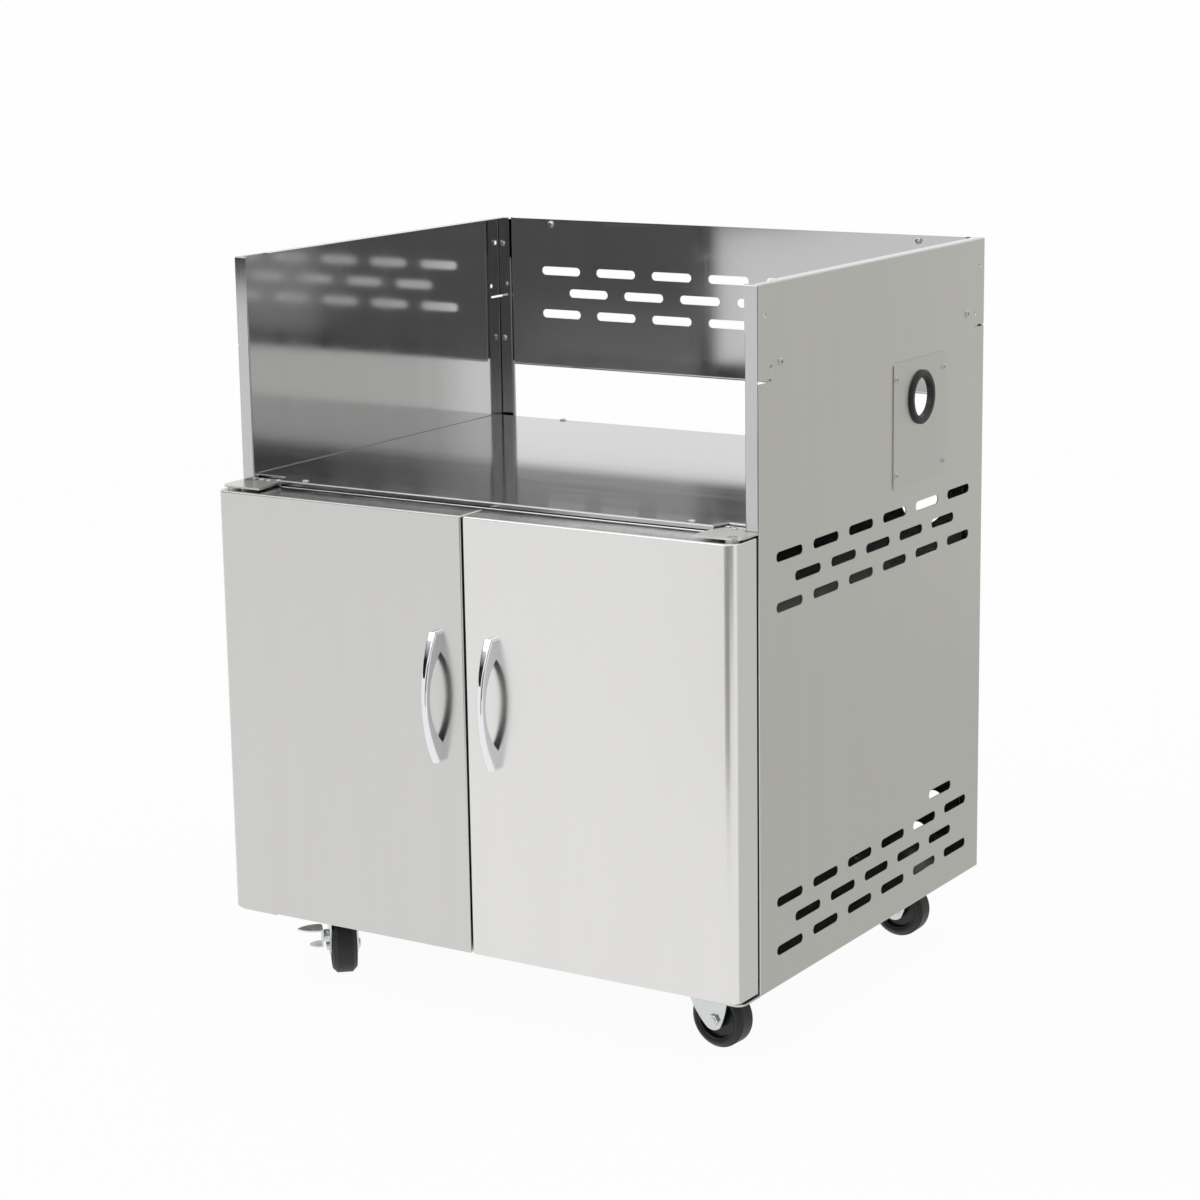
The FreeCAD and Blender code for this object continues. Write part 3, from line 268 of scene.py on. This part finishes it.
floor_reach = 4.5
floor_sides = 96
turns = [math.tau * i / floor_sides for i in range(floor_sides)]
rim = [(floor_reach * math.cos(turn), floor_reach * math.sin(turn), 0) for turn in turns]
floor_mesh = bpy.data.meshes.new("floor")
floor_mesh.from_pydata(rim, [], [list(range(floor_sides))])
floor = bpy.data.objects.new("floor", floor_mesh)
bpy.context.scene.collection.objects.link(floor)
paper, tree, out = finish("white_paper")
path = add(tree, "LightPath")
seen = add(tree, "Math", {0: path.outputs["Is Camera Ray"], 1: path.outputs["Is Glossy Ray"]}, operation="MAXIMUM")
shown_white = 0.95
share = add(tree, "Math", {0: seen.outputs[0], 1: shown_white}, operation="MULTIPLY")
matte = add(tree, "BsdfDiffuse", {"Color": linear("F2F2F2")})
glow = add(tree, "Emission", {"Color": linear("FFFFFF"), "Strength": 1.0})
both = add(tree, "MixShader", {0: share.outputs[0], 1: matte.outputs[0], 2: glow.outputs[0]})
tree.links.new(both.outputs[0], out)
floor_mesh.materials.append(paper)


# Studio surround: white all round, seen by the camera and by mirrors at full white.

world = bpy.data.worlds.new("studio")
bpy.context.scene.world = world
world.use_nodes = True
sky = world.node_tree
sky.nodes.clear()
path = add(sky, "LightPath")
shown = add(sky, "Math", {0: path.outputs["Is Camera Ray"], 1: path.outputs["Is Glossy Ray"]}, operation="MAXIMUM")
shown = add(sky, "Math", {0: shown.outputs[0], 1: path.outputs["Is Transmission Ray"]}, operation="MAXIMUM")
level = add(sky, "MapRange", {"Value": shown.outputs[0], "To Min": 0.8, "To Max": 0.99})
surround = add(sky, "Background", {"Color": linear("FFFFFF"), "Strength": level.outputs[0]})
add(sky, "OutputWorld", {"Surface": surround.outputs[0]})


# Two soft boxes: one high at the front left, a larger and weaker one above the cart.

cart_middle = Vector((0, 0, 0.5))


def soft_box(name, place, size, watts):
    """A rectangular lamp that faces the cart's middle."""
    light = bpy.data.lights.new(name, "AREA")
    light.shape = "RECTANGLE"
    light.size, light.size_y = size
    light.energy = watts
    held = bpy.data.objects.new(name, light)
    held.location = place
    held.rotation_mode = "QUATERNION"
    held.rotation_quaternion = (Vector(place) - cart_middle).to_track_quat("Z", "Y")
    bpy.context.scene.collection.objects.link(held)


soft_box("soft_box_front", (-1.6, -2.6, 2.6), (1.6, 1.2), 12)
soft_box("soft_box_top", (0.6, 0.2, 3.2), (2.0, 2.0), 8)


# Grey backdrops that the camera doesn't see, round an otherwise white studio. They give the mirrors
# in the well, the doors' corners, the handles and the right side something darker to show.

def backdrop(name, middle, out_way, size, shade, foot=0.0, lying=False, lit=False):
    """A grey sheet, upright or lying. Out_way points from the cart to the sheet, across its face.

    A lit one shines through evenly, at the level of its shade. One with two shades goes from the first
    to the second over its upper half.
    """
    width, height = size
    away = Vector((*out_way, 0)).normalized()
    along = Vector((-away.y, away.x, 0)) * (width / 2)
    low = Vector((*middle, foot))
    rise = Vector((0, 0, height))
    if lying:
        rise = away * height
        low -= rise / 2
    mesh = bpy.data.meshes.new(name)
    mesh.from_pydata([low - along, low + along, low + along + rise, low - along + rise], [], [(0, 1, 2, 3)])
    made, tree, out = finish(name + "_cloth")
    if isinstance(shade, str):
        colour = linear(shade)
    else:
        place = add(tree, "SeparateXYZ", {0: add(tree, "TexCoord").outputs["Object"]})
        raised = add(tree, "MapRange", {"Value": place.outputs["Z"], "From Min": foot + height / 2,
                                        "From Max": foot + height})
        colour = blend(tree, raised.outputs[0], *shade)
    shader = add(tree, "Emission" if lit else "BsdfDiffuse", {"Color": colour})
    tree.links.new(shader.outputs[0], out)
    mesh.materials.append(made)
    held = bpy.data.objects.new(name, mesh)
    bpy.context.scene.collection.objects.link(held)
    held.visible_camera = False


front_grey = "909092"
front_side_grey = "9A9A9E"
right_grey = "D1D1CF"
handle_greys = ("202022", "E8E8EA")
backdrop("backdrop_front_low", (1.62, -2.65), (0.52, -0.85), (3.0, 1.15), front_grey)
backdrop("backdrop_front_side", (2.33, -2.2), (0.6, -0.8), (1.3, 3.0), front_side_grey)
backdrop("backdrop_handles", (-2.46, -2.0), (-0.82, -0.57), (2.6, 1.6), handle_greys, foot=0.6, lit=True)
backdrop("backdrop_corner", (0.37, -1.6), (0.0, -1.0), (1.0, 0.55), "B4B4B2")
backdrop("backdrop_right", (0.95, 0.9), (1.0, 0.0), (2.4, 1.2), right_grey, lit=True)
backdrop("backdrop_right_floor", (0.67, 0.9), (1.0, 0.0), (2.4, 0.55), right_grey, foot=0.002, lying=True,
         lit=True)


# Camera, placed from points measured in the photograph.

view = bpy.data.cameras.new("camera")
view.lens = 89.47
view.sensor_width = 36.0
view.clip_start, view.clip_end = 0.1, 50.0
camera = bpy.data.objects.new("camera", view)
camera_place = (2.0407, -3.2084, 1.3238)
yaw, pitch, roll = 0.567, 0.2172, -0.0153
ahead = Vector((-math.sin(yaw) * math.cos(pitch), math.cos(yaw) * math.cos(pitch), -math.sin(pitch)))
level_right = Vector((math.cos(yaw), math.sin(yaw), 0))
level_up = level_right.cross(ahead)
right = math.cos(roll) * level_right + math.sin(roll) * level_up
up = -math.sin(roll) * level_right + math.cos(roll) * level_up
turned = Matrix((right, up, -ahead)).transposed().to_4x4()
camera.matrix_world = Matrix.Translation(camera_place) @ turned
bpy.context.scene.collection.objects.link(camera)
bpy.context.scene.camera = camera

bpy.context.scene.view_settings.view_transform = "Standard"
